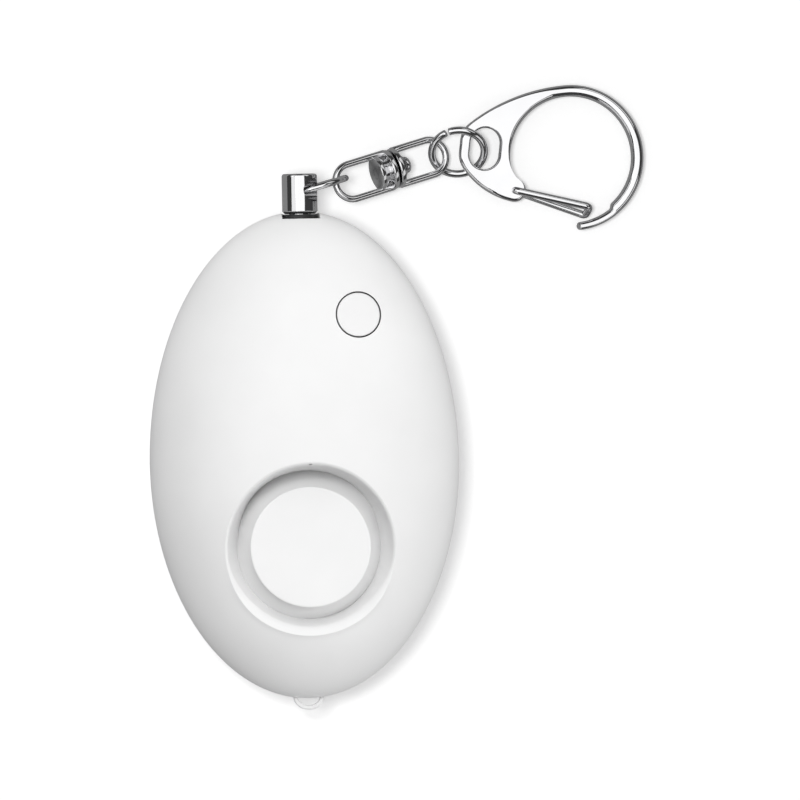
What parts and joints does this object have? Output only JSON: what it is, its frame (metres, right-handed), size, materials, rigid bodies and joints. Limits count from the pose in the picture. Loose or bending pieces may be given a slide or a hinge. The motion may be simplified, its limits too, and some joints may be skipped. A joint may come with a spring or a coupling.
{
  "type": "personal safety alarm",
  "caption": "Egg-shaped pocket siren case with a flush button, a round sound groove, a strap loop, and a pull pin on a swivel chain with a snap hook.",
  "frame": {"origin": "on the flat back of the case, below the case's widest line, at the middle of its width", "axes": "+Z out of the front with the button and the siren, +Y along the case to the pull pin, +X to the side of the button"},
  "size_m": [0.0571, 0.0701, 0.02],
  "materials": {
    "white_plastic": "semi-gloss moulded",
    "chrome": "polished plating",
    "piezo_brass": "rolled sheet",
    "piezo_ceramic": "silvered ceramic",
    "grey_plastic": "moulded",
    "wire_insulation": "extruded",
    "black_plastic": "moulded",
    "board_laminate": "solder mask",
    "ferrite": "sintered",
    "steel": "nickel plated",
    "contact_bronze": "stamped sheet"
  },
  "bodies": {
    "case": {"front_shell": "white_plastic", "rear_shell": "white_plastic", "siren_cap": "white_plastic", "strap_loop": "white_plastic", "piezo_plate": "piezo_brass", "piezo_ceramic": "piezo_ceramic", "piezo_retainer": "grey_plastic", "piezo_leads": "wire_insulation", "tact_switch": "steel", "circuit_board": "board_laminate", "driver_chip": "black_plastic", "transistor": "black_plastic", "boost_coil": "ferrite", "board_screw": "steel", "pin_socket": "black_plastic", "pin_contacts": "contact_bronze", "button_cell_1": "steel", "button_cell_2": "steel", "button_cell_3": "steel", "positive_contact": "steel", "negative_contact": "steel", "case_screws": "steel"},
    "button": {"button": "white_plastic", "switch_plunger": "black_plastic"},
    "pin": {"pull_pin": "chrome"},
    "pin_ring": {"pin_ring": "chrome"},
    "bow_a": {"swivel_bow_a": "chrome", "swivel_rivet": "chrome"},
    "bow_b": {"swivel_bow_b": "chrome"},
    "clip_ring": {"clip_ring": "chrome"},
    "hook": {"snap_hook": "chrome"},
    "gate": {"hook_gate": "chrome"}
  },
  "joints": [
    {"name": "pin_pull", "type": "slide", "parent": "case", "child": "pin", "axis": [0, 1, 0], "range_m": [0, 0.013]},
    {"name": "pin_ring_swing", "type": "hinge", "parent": "pin", "child": "pin_ring", "pos_m": [0, 0.0306, 0.009], "axis": [0.766, 0, 0.6428], "range_deg": [-15, 60]},
    {"name": "swivel_swing", "type": "hinge", "parent": "pin_ring", "child": "bow_a", "pos_m": [0.00524, 0.03184, 0.00537], "axis": [0.2859, 0.082, 0.9548], "range_deg": [-25, 60]},
    {"name": "swivel_spin", "type": "hinge", "parent": "bow_a", "child": "bow_b", "pos_m": [0.0044, 0.03098, 0.0057], "axis": [0.9178, 0.2632, -0.2974], "continuous": true},
    {"name": "clip_ring_swing", "type": "hinge", "parent": "bow_b", "child": "clip_ring", "pos_m": [0.01538, 0.03413, 0.00214], "axis": [0.2859, 0.082, 0.9548], "range_deg": [-60, 60]},
    {"name": "clip_swing", "type": "hinge", "parent": "clip_ring", "child": "hook", "pos_m": [0.02152, 0.03498, 0.00207], "axis": [0.0504, -0.0063, 0.9987], "range_deg": [-25, 25]},
    {"name": "gate_open", "type": "hinge", "parent": "hook", "child": "gate", "pos_m": [0.02484, 0.03018, 0.00187], "axis": [0.0504, -0.0063, 0.9987], "range_deg": [0, 30], "stiffness_Nm_per_rad": 0.015, "springref_deg": -5.73},
    {"name": "button_press", "type": "slide", "parent": "case", "child": "button", "axis": [0, 0, -1], "range_m": [0, 0.0005], "stiffness_N_per_m": 400}
  ]
}
